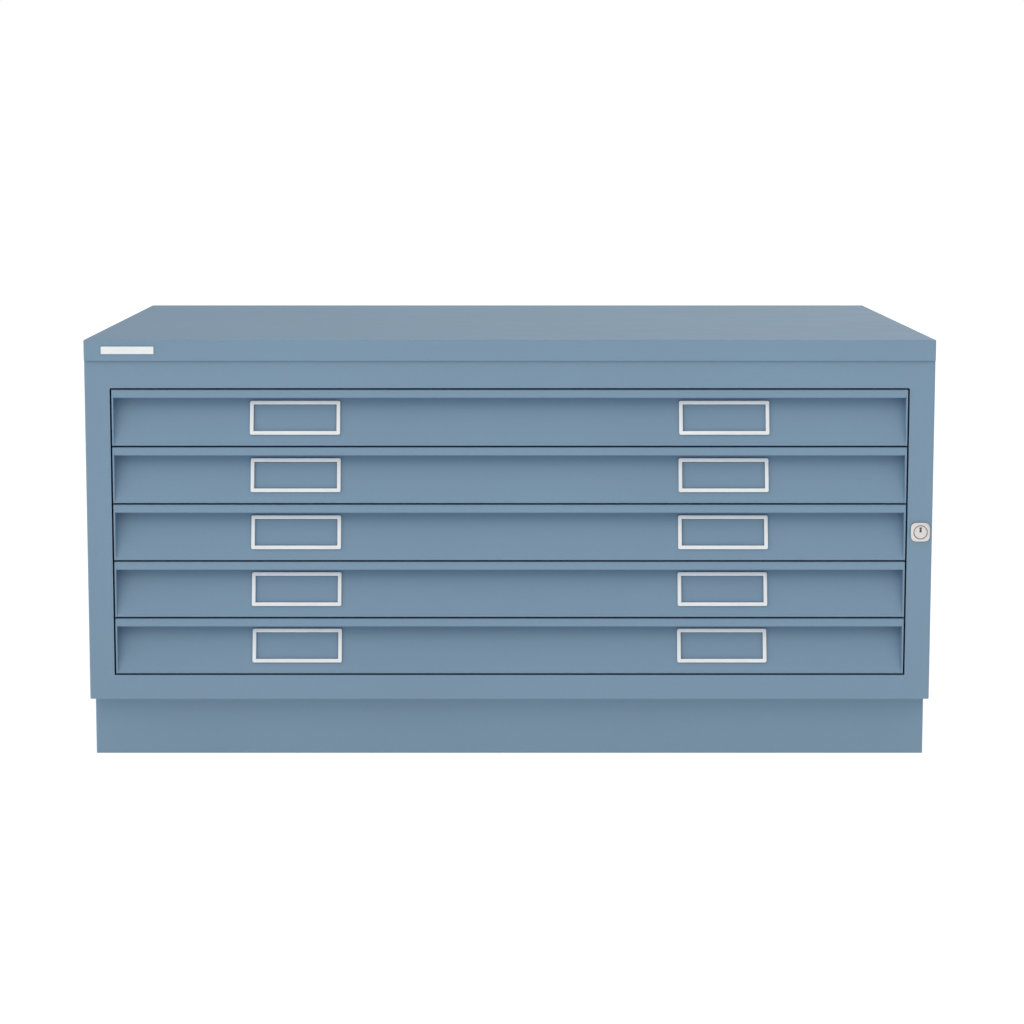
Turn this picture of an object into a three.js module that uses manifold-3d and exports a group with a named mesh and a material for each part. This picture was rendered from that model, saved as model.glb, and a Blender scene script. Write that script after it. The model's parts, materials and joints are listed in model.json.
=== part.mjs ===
// A five-drawer steel flat file cabinet for A1 sheets, standing on a plinth.
//
// Millimetres. +X is to the right seen from the front, +Y runs to the back and +Z is up. The origin is
// on the floor, at the centre of the cabinet's footprint. Every drawer hangs on two telescopic slides
// and moves along -Y. The lock on the right stile lifts a bar whose tabs stand in front of a catch on
// each drawer; the cabinet is drawn unlocked, with all drawers shut.

import * as THREE from 'three';
import { mergeVertices } from 'three/addons/utils/BufferGeometryUtils.js';
import Module from 'manifold-3d';

const wasm = await Module();
wasm.setup();

// Overall size
const WIDTH = 970;
const DEPTH = 705;
const CARCASS_HEIGHT = 415.5;
const PLINTH_HEIGHT = 67.5;
const HEIGHT = CARCASS_HEIGHT + PLINTH_HEIGHT;

// Sheet steel
const SHEET = 1.2;
const INSIDE_BEND = 0.5; // inner radius of a fold
const SEAM = 0.3; // gap between neighbouring pieces
const BEND_STEPS = 3; // facets round one fold
const OVERLAP = 1; // how far a cutting tool or a joined piece runs past the face it meets
const NEST = SHEET + INSIDE_BEND; // how far in a piece lies when it sits inside a folded corner

// Blank nameplate on the band of the top panel
const NAMEPLATE_WIDTH = 60;
const NAMEPLATE_HEIGHT = 8.6;
const NAMEPLATE_THICKNESS = 0.7;
const NAMEPLATE_FROM_EDGE = 20;
const NAMEPLATE_CORNER = 1;

// Top panel: a pan turned upside down. Its front wall stands a little in front of the fascia and laps it.
const BAND_HEIGHT = 23.9;
const BAND_LAP = 2.2;
const BAND_OVERHANG = 2.5;
const BAND_FRONT = -DEPTH / 2 + NAMEPLATE_THICKNESS + SEAM;
const BACK = DEPTH / 2;
const FACE = BAND_FRONT + BAND_OVERHANG; // plane of the fascia and the drawer fronts
const CARCASS_TOP = HEIGHT - BAND_HEIGHT + BAND_LAP - SEAM;

// Fascia frame and side panels
const FASCIA_RETURN = 30;
const SIDE_RETURN = 15;
const OPENING_HALF_WIDTH = 456.3;
const OPENING_BOTTOM = 95.7;
const OPENING_CORNER = 2;
const OPENING_FLANGE = 12;
const BACK_PANEL_MARGIN = 3;
const BACK_PANEL_TONGUE = 10; // how far its middle rises past its corners, behind the top panel's wall

// Plinth
const PLINTH_HALF_WIDTH = 481.5;
const PLINTH_SETBACK = 20;
const PLINTH_REAR_INSET = 3;
const PLINTH_SHEET = 1.5;
const PLINTH_FLANGE = 22;

// Drawers, numbered from the top
const DRAWER_COUNT = 5;
const DRAWER_GAP = 1.5; // between drawer fronts and under the lowest
const DRAWER_SIDE_GAP = 2.1;
const DRAWER_TOP_GAP = 1.8;
const DRAWER_PITCH = 66.05;
const FRONT_HEIGHT = DRAWER_PITCH - DRAWER_GAP;
const FRONT_HALF_WIDTH = OPENING_HALF_WIDTH - DRAWER_SIDE_GAP;
const FRONT_DEPTH = 17;
const LIP_HEIGHT = 9.5;
const RECESS_DEPTH = 15.5;
const CHEEK_THICKNESS = 1.7;
const OPENING_TOP = OPENING_BOTTOM + DRAWER_COUNT * DRAWER_PITCH + DRAWER_TOP_GAP;

// Drawer tray, heights above the foot of the drawer front
const TRAY_SHEET = 1;
const TRAY_HALF_WIDTH = 440;
const TRAY_FRONT = FACE + FRONT_DEPTH + SEAM;
const TRAY_BACK = 310;
const TRAY_FLOOR = 8;
const TRAY_TOP = 50;
const TRAY_RIM = 6;
const TRAY_HOOD = 60; // the fixed cover over the back of the sheets

// Card holders, lying on the sloped panel of the drawer front
const HOLDER_WIDTH = 103.2;
const HOLDER_BAR = 4.2;
const HOLDER_THICKNESS = 2;
const HOLDER_CORNER = 2;
const HOLDER_CENTRE_X = 245.4;
const HOLDER_LOW = 12.6;
const HOLDER_HIGH = 50.5;
const CARD_SLOT_DEPTH = 1;
const CARD_SLOT_WALL = 1.6;

// Telescopic slides
const SLIDE_CENTRE = 28;
const SLIDE_FRONT = FACE + 31;
const SLIDE_LENGTH = 600;
const SLIDE_LIP = 2.1; // turned-in edge that holds the balls
const OUTER_HALF_HEIGHT = 15;
const OUTER_FAR = 453;
const OUTER_NEAR = 443.5;
const MIDDLE_HALF_HEIGHT = 12.2;
const MIDDLE_FAR = 450;
const MIDDLE_NEAR = 442.6;
const INNER_HALF_HEIGHT = 8.8;
const INNER_NEAR = TRAY_HALF_WIDTH + SEAM;
const INNER_FAR = 447.6;

// Posts that carry the outer slide members
const POST_WIDTH = 40;
const POST_SHEET = 1.5;
const POST_WELD = 0.2; // how far a post bites into the members welded to it
const POST_FRONTS = [FACE + 50, 200];
const POST_BOTTOM = PLINTH_HEIGHT + NEST + SHEET + SEAM;
const POST_TOP = CARCASS_TOP - SHEET - SEAM;

// Lock: distances behind the fascia are positive
const LOCK_X = 471.3;
const LOCK_Z = 262.3;
const PLATE_HALF_SIZE = 11;
const PLATE_THICKNESS = 2.3;
const PLATE_BEVEL = 0.5;
const PLATE_SQUARENESS = 4; // exponent of the superellipse
const PLATE_POINTS = 40;
const HOUSING_RADIUS = 9;
const HOUSING_END = 17;
const BORE_RADIUS = 8;
const NUT_FLATS = 22;
const NUT_THICKNESS = 4;
const BARREL_RADIUS = 7.5;
const BARREL_FACE = -2.4;
const KEYHOLE_WIDTH = 2.8;
const KEYHOLE_HEIGHT = 5.8;
const KEYHOLE_DEPTH = 8;
const KEYHOLE_CORNER = 1;
const CAM_FRONT = HOUSING_END + 2 * SEAM;
const CAM_THICKNESS = 2;
const CAM_BACK = CAM_FRONT + CAM_THICKNESS;
const CAM_HUB = 6.5;
const CAM_TIP = 3;
const CAM_THROW = 10; // from the barrel's axis to the cam pin
const CAM_PIN_RADIUS = 1.6;
const CAM_PIN_PROUD = 1; // behind the lock bar
const CAM_REST_ANGLE = -3 * Math.PI / 4; // the pin starts down and to the left
const TAIL_SIDE = 7;
const SCREW_HEAD_RADIUS = 5.6;
const SCREW_HEAD_THICKNESS = 2;
const SCREW_RADIUS = 1.6;
const SCREW_LENGTH = 9;

// Lock bar, its guides and the catches on the trays
const BAR_CLEARANCE = 1; // from the cam's screw to the bar
const BAR_FRONT = CAM_BACK + SEAM + SCREW_HEAD_THICKNESS + BAR_CLEARANCE;
const BAR_THICKNESS = 2;
const BAR_BACK = BAR_FRONT + BAR_THICKNESS;
const BAR_NEAR = 457.2;
const BAR_FAR = 468.4;
const BAR_BOTTOM = 108;
const BAR_TOP = 420;
const BAR_SLOT_PLAY = 0.5;
const TAB_REACH = 446;
const TAB_LOW = 45;
const TAB_HEIGHT = 5;
const CATCH_REACH = 452;
const CATCH_ROOT = 46;
const CATCH_LOW = 57;
const CATCH_HIGH = 63;
const CATCH_THICKNESS = 2;
const CATCH_CLEARANCE = 1;
const GUIDE_HEIGHT = 22;
const GUIDE_PLATE = 2;
const GUIDE_FOOT = 12;
const GUIDE_NEAR = 455;
const ARM_NEAR = BAR_NEAR + 1;
const GUIDE_FAR = 471;
const GUIDE_PLAY = 0.4;

const ROUND_FACETS = 32;
const SMALL_ROUND_FACETS = 16;
const CAM_ARC_STEPS = 6;
const SQUARE = 4;
const HEXAGON = 6;
const PAINT_COLOUR = 0x7d98ac;
const STEEL_COLOUR = 0xb4b7ba;
const PLATED_COLOUR = 0xe3e5e8;
const LOCK_COLOUR = 0xd3d1ce;

// ---------------------------------------------------------------------------------------- materials

function paint() {
  return new THREE.MeshStandardMaterial({ color: PAINT_COLOUR, roughness: 0.45, metalness: 0.1 });
}

function zincSteel() {
  return new THREE.MeshStandardMaterial({ color: STEEL_COLOUR, roughness: 0.35, metalness: 0.9 });
}

function brightPlate() {
  return new THREE.MeshStandardMaterial({ color: PLATED_COLOUR, roughness: 0.2, metalness: 0.9 });
}

function satinNickel() {
  return new THREE.MeshStandardMaterial({ color: LOCK_COLOUR, roughness: 0.4, metalness: 0.8 });
}

// --------------------------------------------------------------------------- solids, cuts and joins

function toSolid(geometry) {
  const bare = geometry.clone();
  bare.deleteAttribute('normal');
  bare.deleteAttribute('uv');
  const merged = mergeVertices(bare, 1e-4);
  const vertProperties = new Float32Array(merged.attributes.position.array);
  const triVerts = new Uint32Array(merged.index.array);
  return new wasm.Manifold(new wasm.Mesh({ numProp: 3, vertProperties, triVerts }));
}

function toGeometry(solid) {
  const mesh = solid.getMesh();
  const geometry = new THREE.BufferGeometry();
  geometry.setAttribute('position', new THREE.BufferAttribute(mesh.vertProperties, 3));
  geometry.setIndex(new THREE.BufferAttribute(mesh.triVerts, 1));
  geometry.computeVertexNormals();
  return geometry;
}

function join(...geometries) {
  return toGeometry(geometries.map(toSolid).reduce((whole, piece) => whole.add(piece)));
}

function cut(geometry, ...tools) {
  return toGeometry(tools.map(toSolid).reduce((whole, tool) => whole.subtract(tool), toSolid(geometry)));
}

function common(...geometries) {
  return toGeometry(geometries.map(toSolid).reduce((whole, piece) => whole.intersect(piece)));
}

// The same piece for the other side of the cabinet.
function mirrored(geometry) {
  const copy = toGeometry(toSolid(geometry)).scale(-1, 1, 1);
  const index = copy.index.array;
  for (let i = 0; i < index.length; i += 3) {
    [index[i + 1], index[i + 2]] = [index[i + 2], index[i + 1]];
  }
  copy.computeVertexNormals();
  return copy;
}

// --------------------------------------------------------------------------------- shapes and sweeps

// Raises a flat shape from z = 0.
function raised(shape, depth, curveSegments) {
  return new THREE.ExtrudeGeometry(shape, { depth, bevelEnabled: false, curveSegments });
}

// Sweeps a shape along X; the shape's own axes become Y and Z.
function alongX(shape, from, to, curveSegments = BEND_STEPS) {
  const turn = new THREE.Matrix4().makeBasis(
    new THREE.Vector3(0, 1, 0),
    new THREE.Vector3(0, 0, 1),
    new THREE.Vector3(1, 0, 0),
  );
  return raised(shape, to - from, curveSegments).applyMatrix4(turn).translate(from, 0, 0);
}

// Sweeps a shape along Y; the shape's own axes become X and Z.
function alongY(shape, from, to, curveSegments = BEND_STEPS) {
  return raised(shape, to - from, curveSegments).rotateX(Math.PI / 2).translate(0, to, 0);
}

// Sweeps a shape along Z; the shape's own axes become X and Y.
function alongZ(shape, from, to, curveSegments = BEND_STEPS) {
  return raised(shape, to - from, curveSegments).translate(0, 0, from);
}

function block(x0, x1, y0, y1, z0, z1) {
  const geometry = new THREE.BoxGeometry(x1 - x0, y1 - y0, z1 - z0);
  return geometry.translate((x0 + x1) / 2, (y0 + y1) / 2, (z0 + z1) / 2);
}

// A round bar along Y, centred on the Y axis.
function rod(radius, from, to, facets = ROUND_FACETS) {
  const geometry = new THREE.CylinderGeometry(radius, radius, to - from, facets);
  return geometry.translate(0, (from + to) / 2, 0);
}

// A rectangle with a radius for each pair of corners.
function rectangle(x0, x1, y0, y1, lowRadius = 0, highRadius = lowRadius) {
  const shape = new THREE.Shape();
  shape.moveTo(x0 + lowRadius, y0);
  shape.lineTo(x1 - lowRadius, y0);
  if (lowRadius > 0) shape.absarc(x1 - lowRadius, y0 + lowRadius, lowRadius, -Math.PI / 2, 0);
  shape.lineTo(x1, y1 - highRadius);
  if (highRadius > 0) shape.absarc(x1 - highRadius, y1 - highRadius, highRadius, 0, Math.PI / 2);
  shape.lineTo(x0 + highRadius, y1);
  if (highRadius > 0) shape.absarc(x0 + highRadius, y1 - highRadius, highRadius, Math.PI / 2, Math.PI);
  shape.lineTo(x0, y0 + lowRadius);
  if (lowRadius > 0) shape.absarc(x0 + lowRadius, y0 + lowRadius, lowRadius, Math.PI, 1.5 * Math.PI);
  return shape;
}

// Cross-section of a folded sheet. The path is one face of the sheet, and the sheet lies on its left.
function foldedSection(path, thickness) {
  const near = [];
  const far = [];
  const corners = path.map(([x, y]) => new THREE.Vector2(x, y));
  const leftOf = (direction) => new THREE.Vector2(-direction.y, direction.x);
  const addPoint = (point, normal) => {
    near.push(point);
    far.unshift(point.clone().addScaledVector(normal, thickness));
  };
  const headings = corners.slice(1).map((corner, i) => corner.clone().sub(corners[i]).normalize());
  addPoint(corners[0], leftOf(headings[0]));
  for (let i = 1; i < corners.length - 1; i += 1) {
    const before = headings[i - 1];
    const after = headings[i];
    const turn = Math.atan2(before.cross(after), before.dot(after));
    const radius = INSIDE_BEND + (turn > 0 ? thickness : 0);
    const reach = radius * Math.tan(Math.abs(turn) / 2);
    const toCentre = Math.sign(turn) * radius;
    const start = corners[i].clone().addScaledVector(before, -reach);
    const centre = start.addScaledVector(leftOf(before), toCentre);
    for (let step = 0; step <= BEND_STEPS; step += 1) {
      const normal = leftOf(before).rotateAround(new THREE.Vector2(), turn * step / BEND_STEPS);
      addPoint(centre.clone().addScaledVector(normal, -toCentre), normal);
    }
  }
  addPoint(corners.at(-1), leftOf(headings.at(-1)));
  return new THREE.Shape([...near, ...far]);
}

// A block whose top face lies at z = 0, with rounded upright edges and rounded top edges.
function softBlock(width, length, depth, radius) {
  const plan = rectangle(-width / 2, width / 2, -length / 2, length / 2, radius);
  const across = rectangle(-length / 2, length / 2, -depth, 0, 0, radius);
  const end = rectangle(-width / 2, width / 2, -depth, 0, 0, radius);
  return common(
    alongZ(plan, -depth, 0),
    alongX(across, -width / 2, width / 2),
    alongY(end, -length / 2, length / 2),
  );
}

// A pan folded from one sheet: a face at z = 0 with four walls hanging from it.
function pan(width, length, depth) {
  const outside = softBlock(width, length, depth, NEST);
  const hollow = softBlock(width - 2 * SHEET, length - 2 * SHEET, depth, INSIDE_BEND);
  return cut(outside, hollow.translate(0, 0, -SHEET));
}

// ------------------------------------------------------------------------------------------ carcass

// The side and back walls of the pan are shorter than the front one, and rest on the carcass.
function topPanel() {
  const geometry = pan(WIDTH, BACK - BAND_FRONT, BAND_HEIGHT);
  geometry.translate(0, (BAND_FRONT + BACK) / 2, HEIGHT);
  const foot = HEIGHT - BAND_HEIGHT;
  const behind = BAND_FRONT + SHEET;
  return cut(geometry, block(-WIDTH, WIDTH, behind, DEPTH, foot - OVERLAP, foot + BAND_LAP));
}

function frontFrame() {
  const height = CARCASS_TOP - PLINTH_HEIGHT;
  const face = pan(WIDTH, height, FASCIA_RETURN).rotateX(Math.PI / 2);
  face.translate(0, FACE, PLINTH_HEIGHT + height / 2);
  const halfWidth = OPENING_HALF_WIDTH;
  const collar = rectangle(
    -halfWidth - SHEET,
    halfWidth + SHEET,
    OPENING_BOTTOM - SHEET,
    OPENING_TOP + SHEET,
    0,
    OPENING_CORNER + SHEET,
  );
  const opening = rectangle(-halfWidth, halfWidth, OPENING_BOTTOM, OPENING_TOP, 0, OPENING_CORNER);
  const lockHole = rod(HOUSING_RADIUS + SEAM, FACE - OVERLAP, FACE + SHEET + OVERLAP);
  return cut(
    join(face, alongY(collar, FACE + SHEET / 2, FACE + OPENING_FLANGE)),
    alongY(opening, FACE - OVERLAP, FACE + OPENING_FLANGE + OVERLAP),
    lockHole.translate(LOCK_X, 0, LOCK_Z),
  );
}

// The right-hand side. Its edges turn in at the back, top and bottom, and it butts on the fascia's return.
function sidePanel() {
  const front = FACE + FASCIA_RETURN + SEAM;
  const height = CARCASS_TOP - PLINTH_HEIGHT;
  const length = BACK - front + NEST;
  const whole = pan(height, length, SIDE_RETURN).rotateY(Math.PI / 2);
  whole.translate(WIDTH / 2, BACK - length / 2, PLINTH_HEIGHT + height / 2);
  return cut(whole, block(0, WIDTH, FACE, front, 0, HEIGHT));
}

function backPanel() {
  const halfWidth = WIDTH / 2 - BACK_PANEL_MARGIN;
  const back = BACK - NEST;
  const low = PLINTH_HEIGHT + BACK_PANEL_MARGIN;
  const high = CARCASS_TOP - BACK_PANEL_MARGIN;
  const tongue = halfWidth - SIDE_RETURN;
  return join(
    block(-halfWidth, halfWidth, back - SHEET, back, low, high),
    block(-tongue, tongue, back - SHEET, back, high - OVERLAP, high + BACK_PANEL_TONGUE),
  );
}

function basePanel() {
  const halfWidth = WIDTH / 2 - NEST;
  const low = PLINTH_HEIGHT + NEST;
  const back = BACK - NEST - SHEET - SEAM;
  return block(-halfWidth, halfWidth, FACE + NEST, back, low, low + SHEET);
}

// A four-sided base whose walls turn in at the top, to carry the carcass, and at the floor.
function plinth() {
  const front = FACE + PLINTH_SETBACK;
  const back = BACK - PLINTH_REAR_INSET;
  const halfWidth = PLINTH_HALF_WIDTH;
  const top = PLINTH_HEIGHT - SEAM;
  const wall = PLINTH_SHEET;
  const flange = PLINTH_FLANGE;
  const outside = rectangle(-halfWidth, halfWidth, front, back, INSIDE_BEND + wall);
  const inside = rectangle(-halfWidth + wall, halfWidth - wall, front + wall, back - wall, INSIDE_BEND);
  const window = rectangle(-halfWidth + flange, halfWidth - flange, front + flange, back - flange);
  return cut(
    alongZ(outside, 0, top),
    alongZ(inside, wall, top - wall),
    alongZ(window, -OVERLAP, top + OVERLAP),
  );
}

function nameplate() {
  const left = -WIDTH / 2 + NAMEPLATE_FROM_EDGE;
  const centre = HEIGHT - BAND_HEIGHT / 2;
  const low = centre - NAMEPLATE_HEIGHT / 2;
  const outline = rectangle(left, left + NAMEPLATE_WIDTH, low, low + NAMEPLATE_HEIGHT, NAMEPLATE_CORNER);
  return alongY(outline, -DEPTH / 2, -DEPTH / 2 + NAMEPLATE_THICKNESS);
}

// ------------------------------------------------------------------------------------------- slides

// A channel that opens towards the tray, with turned-in edges. Its web is the far face.
function channelSection(near, far, halfHeight) {
  return foldedSection([
    [near, SLIDE_LIP - halfHeight],
    [near, -halfHeight],
    [far, -halfHeight],
    [far, halfHeight],
    [near, halfHeight],
    [near, halfHeight - SLIDE_LIP],
  ], SHEET);
}

function slideMember(section) {
  return alongY(section, SLIDE_FRONT, SLIDE_FRONT + SLIDE_LENGTH);
}

function outerSlide() {
  return slideMember(channelSection(OUTER_NEAR, OUTER_FAR, OUTER_HALF_HEIGHT));
}

function middleSlide() {
  return slideMember(channelSection(MIDDLE_NEAR, MIDDLE_FAR, MIDDLE_HALF_HEIGHT));
}

// The member fixed to the tray, a plain channel that opens away from it.
function innerSlide() {
  return slideMember(foldedSection([
    [INNER_FAR, INNER_HALF_HEIGHT],
    [INNER_NEAR, INNER_HALF_HEIGHT],
    [INNER_NEAR, -INNER_HALF_HEIGHT],
    [INNER_FAR, -INNER_HALF_HEIGHT],
  ], SHEET));
}

// Two posts with the outer member of each drawer's slide welded to them, for the right-hand side.
function runnerRack() {
  const near = OUTER_FAR - POST_WELD;
  const far = WIDTH / 2 - SHEET - SEAM;
  const posts = POST_FRONTS.map((front) => {
    const back = front + POST_WIDTH;
    const path = [[far, back], [near, back], [near, front], [far, front]];
    return alongZ(foldedSection(path, POST_SHEET), POST_BOTTOM, POST_TOP);
  });
  const members = drawerFeet().map((foot) => outerSlide().translate(0, 0, foot + SLIDE_CENTRE));
  return join(...posts, ...members);
}

// ------------------------------------------------------------------------------------------ drawers

// Height of the foot of each drawer front, from the top drawer down.
function drawerFeet() {
  const lowest = OPENING_BOTTOM + DRAWER_GAP;
  return Array.from({ length: DRAWER_COUNT }, (_, i) => lowest + (DRAWER_COUNT - 1 - i) * DRAWER_PITCH);
}

// A lip along the top to pull by, a recess under it, and a panel that slopes out to the foot.
function drawerFront() {
  const lipFoot = FRONT_HEIGHT - LIP_HEIGHT;
  const section = foldedSection([
    [FACE + FRONT_DEPTH, FRONT_HEIGHT],
    [FACE, FRONT_HEIGHT],
    [FACE, lipFoot],
    [FACE + RECESS_DEPTH, lipFoot],
    [FACE, 0],
    [FACE + FRONT_DEPTH, 0],
  ], SHEET);
  const reach = FRONT_HALF_WIDTH - CHEEK_THICKNESS / 2;
  const cheek = drawerCheek();
  return join(alongX(section, -reach, reach), cheek, mirrored(cheek));
}

// The end plate of a drawer front, with its two front corners rounded like the folds beside it.
function drawerCheek() {
  const back = FACE + FRONT_DEPTH;
  const corner = NEST;
  const outline = rectangle(FACE, back + corner, 0, FRONT_HEIGHT, corner);
  const plate = alongX(outline, FRONT_HALF_WIDTH - CHEEK_THICKNESS, FRONT_HALF_WIDTH);
  const behind = block(0, WIDTH, back, back + 2 * corner, -OVERLAP, FRONT_HEIGHT + OVERLAP);
  return cut(plate, behind);
}

// An open tray with a turned-in rim, a hood over its back and a catch ear on its right wall.
function tray() {
  const sheet = TRAY_SHEET;
  const half = TRAY_HALF_WIDTH;
  const shell = block(-half, half, TRAY_FRONT, TRAY_BACK, TRAY_FLOOR, TRAY_TOP);
  const inside = block(
    -half + sheet,
    half - sheet,
    TRAY_FRONT + sheet,
    TRAY_BACK - sheet,
    TRAY_FLOOR + sheet,
    TRAY_TOP - sheet,
  );
  const mouth = block(
    -half + TRAY_RIM,
    half - TRAY_RIM,
    TRAY_FRONT + TRAY_RIM,
    TRAY_BACK - TRAY_HOOD,
    TRAY_TOP - 2 * sheet,
    TRAY_TOP + OVERLAP,
  );
  return join(cut(shell, inside, mouth), catchEar());
}

// Rises from the tray wall and reaches out over the lock bar's tab.
function catchEar() {
  const root = TRAY_HALF_WIDTH - TRAY_SHEET / 2;
  const stem = TRAY_HALF_WIDTH + CATCH_THICKNESS;
  const outline = new THREE.Shape([
    new THREE.Vector2(root, CATCH_ROOT),
    new THREE.Vector2(stem, CATCH_ROOT),
    new THREE.Vector2(stem, CATCH_LOW),
    new THREE.Vector2(CATCH_REACH, CATCH_LOW),
    new THREE.Vector2(CATCH_REACH, CATCH_HIGH),
    new THREE.Vector2(root, CATCH_HIGH),
  ]);
  const front = FACE + BAR_BACK + CATCH_CLEARANCE;
  return alongY(outline, front, front + CATCH_THICKNESS);
}

// Tilt of the drawer front's sloped panel from upright.
function panelTilt() {
  return Math.atan2(RECESS_DEPTH, FRONT_HEIGHT - LIP_HEIGHT);
}

// A frame with square inner corners; a card slides in from above behind its bars.
function cardHolder() {
  const length = (HOLDER_HIGH - HOLDER_LOW) / Math.cos(panelTilt());
  const halfWidth = HOLDER_WIDTH / 2;
  const halfLength = length / 2;
  const bar = HOLDER_BAR;
  const outline = rectangle(-halfWidth, halfWidth, -halfLength, halfLength, HOLDER_CORNER);
  outline.holes.push(rectangle(-halfWidth + bar, halfWidth - bar, -halfLength + bar, halfLength - bar));
  const cardSlot = block(
    -halfWidth + CARD_SLOT_WALL,
    halfWidth - CARD_SLOT_WALL,
    -CARD_SLOT_DEPTH,
    OVERLAP,
    -halfLength + CARD_SLOT_WALL,
    length,
  );
  return cut(alongY(outline, -HOLDER_THICKNESS, 0), cardSlot);
}

// Sets a card holder on the sloped panel, a seam's width in front of it.
function placeCardHolder(mesh, x) {
  const tilt = panelTilt();
  const height = (HOLDER_LOW + HOLDER_HIGH) / 2;
  const panelDepth = height * Math.tan(tilt);
  mesh.rotation.x = -tilt;
  mesh.position.set(x, FACE + panelDepth - SEAM / Math.cos(tilt), height);
}

// --------------------------------------------------------------------------------------------- lock
// The lock's pieces are drawn round the Y axis with the fascia's face at y = 0.

// The square plate on the stile, in one piece with the sleeve that passes through it.
function lockHousing() {
  const outline = new THREE.Shape();
  const power = 2 / PLATE_SQUARENESS;
  const size = PLATE_HALF_SIZE - PLATE_BEVEL;
  for (let i = 0; i < PLATE_POINTS; i += 1) {
    const angle = 2 * Math.PI * i / PLATE_POINTS;
    const x = size * Math.sign(Math.cos(angle)) * Math.abs(Math.cos(angle)) ** power;
    const z = size * Math.sign(Math.sin(angle)) * Math.abs(Math.sin(angle)) ** power;
    outline[i === 0 ? 'moveTo' : 'lineTo'](x, z);
  }
  const plate = new THREE.ExtrudeGeometry(outline, {
    depth: PLATE_THICKNESS - 2 * PLATE_BEVEL,
    bevelThickness: PLATE_BEVEL,
    bevelSize: PLATE_BEVEL,
    bevelSegments: 2,
  });
  plate.rotateX(Math.PI / 2).translate(0, -SEAM - PLATE_BEVEL, 0);
  const sleeve = rod(HOUSING_RADIUS, -SEAM - OVERLAP, HOUSING_END);
  const bore = rod(BORE_RADIUS, -PLATE_THICKNESS - OVERLAP, HOUSING_END + OVERLAP);
  return cut(join(plate, sleeve), bore);
}

function lockNut() {
  const front = SHEET + SEAM;
  const back = front + NUT_THICKNESS;
  const hexagon = rod(NUT_FLATS / Math.sqrt(3), front, back, HEXAGON);
  return cut(hexagon, rod(HOUSING_RADIUS + SEAM, front - OVERLAP, back + OVERLAP));
}

// Turns with the key: a keyhole in its face, and a square tail set corner-down for the cam.
function lockBarrel() {
  const body = rod(BARREL_RADIUS, BARREL_FACE, HOUSING_END + SEAM);
  const tail = rod(TAIL_SIDE / Math.SQRT2, HOUSING_END, CAM_BACK - SEAM, SQUARE);
  const halfWidth = KEYHOLE_WIDTH / 2;
  const outline = rectangle(-halfWidth, halfWidth, 0, KEYHOLE_HEIGHT, KEYHOLE_CORNER);
  const keyhole = alongY(outline, BARREL_FACE - OVERLAP, BARREL_FACE + KEYHOLE_DEPTH);
  const screwHole = rod(SCREW_RADIUS + SEAM, CAM_BACK - SCREW_LENGTH - SEAM, CAM_BACK + OVERLAP);
  return cut(join(body, tail), keyhole, screwHole);
}

// A lever with a square hole for the barrel's tail and a pin that works in the lock bar's slot.
function lockCam() {
  const slope = Math.acos((CAM_HUB - CAM_TIP) / CAM_THROW);
  const outline = new THREE.Shape();
  outline.absarc(0, 0, CAM_HUB, slope, 2 * Math.PI - slope);
  outline.absarc(CAM_THROW, 0, CAM_TIP, -slope, slope);
  const halfHole = TAIL_SIDE / 2 + SEAM;
  outline.holes.push(rectangle(-halfHole, halfHole, -halfHole, halfHole));
  const lever = alongY(outline, CAM_FRONT, CAM_BACK, CAM_ARC_STEPS);
  const pin = rod(CAM_PIN_RADIUS, CAM_FRONT + OVERLAP, BAR_BACK + CAM_PIN_PROUD, SMALL_ROUND_FACETS);
  return join(lever, pin.translate(CAM_THROW, 0, 0));
}

function camScrew() {
  const seat = CAM_BACK + SEAM;
  const head = rod(SCREW_HEAD_RADIUS, seat, seat + SCREW_HEAD_THICKNESS);
  const shank = rod(SCREW_RADIUS, CAM_BACK - SCREW_LENGTH, seat + OVERLAP, SMALL_ROUND_FACETS);
  return join(head, shank);
}

// A flat strip with a tab for each drawer, and a cross slot for the cam pin.
function lockBar() {
  const front = FACE + BAR_FRONT;
  const back = FACE + BAR_BACK;
  const strip = block(BAR_NEAR, BAR_FAR, front, back, BAR_BOTTOM, BAR_TOP);
  const tabs = drawerFeet().map((foot) => {
    const low = foot + TAB_LOW;
    return block(TAB_REACH, BAR_NEAR + OVERLAP, front, back, low, low + TAB_HEIGHT);
  });
  const pinX = LOCK_X + CAM_THROW * Math.cos(CAM_REST_ANGLE);
  const pinZ = LOCK_Z + CAM_THROW * Math.sin(CAM_REST_ANGLE);
  const play = CAM_PIN_RADIUS + BAR_SLOT_PLAY;
  const slot = block(
    LOCK_X - CAM_THROW - play,
    pinX + play,
    front - OVERLAP,
    back + OVERLAP,
    pinZ - play,
    pinZ + play,
  );
  return cut(join(strip, ...tabs), slot);
}

// A bracket on the back of the stile with a window that the lock bar slides through.
function barGuide() {
  const front = FACE + SHEET + SEAM;
  const barFront = FACE + BAR_FRONT;
  const barBack = FACE + BAR_BACK;
  const end = barBack + GUIDE_PLATE;
  const play = GUIDE_PLAY;
  const foot = block(ARM_NEAR, GUIDE_FAR, front, front + GUIDE_PLATE, 0, GUIDE_FOOT);
  const arm = block(ARM_NEAR, GUIDE_FAR, front + OVERLAP, barFront, 0, GUIDE_PLATE);
  const eye = block(GUIDE_NEAR, GUIDE_FAR, barFront - GUIDE_PLATE, end, 0, GUIDE_PLATE);
  const window = block(
    BAR_NEAR - play,
    BAR_FAR + play,
    barFront - play,
    barBack + play,
    -OVERLAP,
    GUIDE_PLATE + OVERLAP,
  );
  return cut(join(foot, arm, eye), window);
}

// ----------------------------------------------------------------------------------------- assembly

const cabinet = new THREE.Group();

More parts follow.
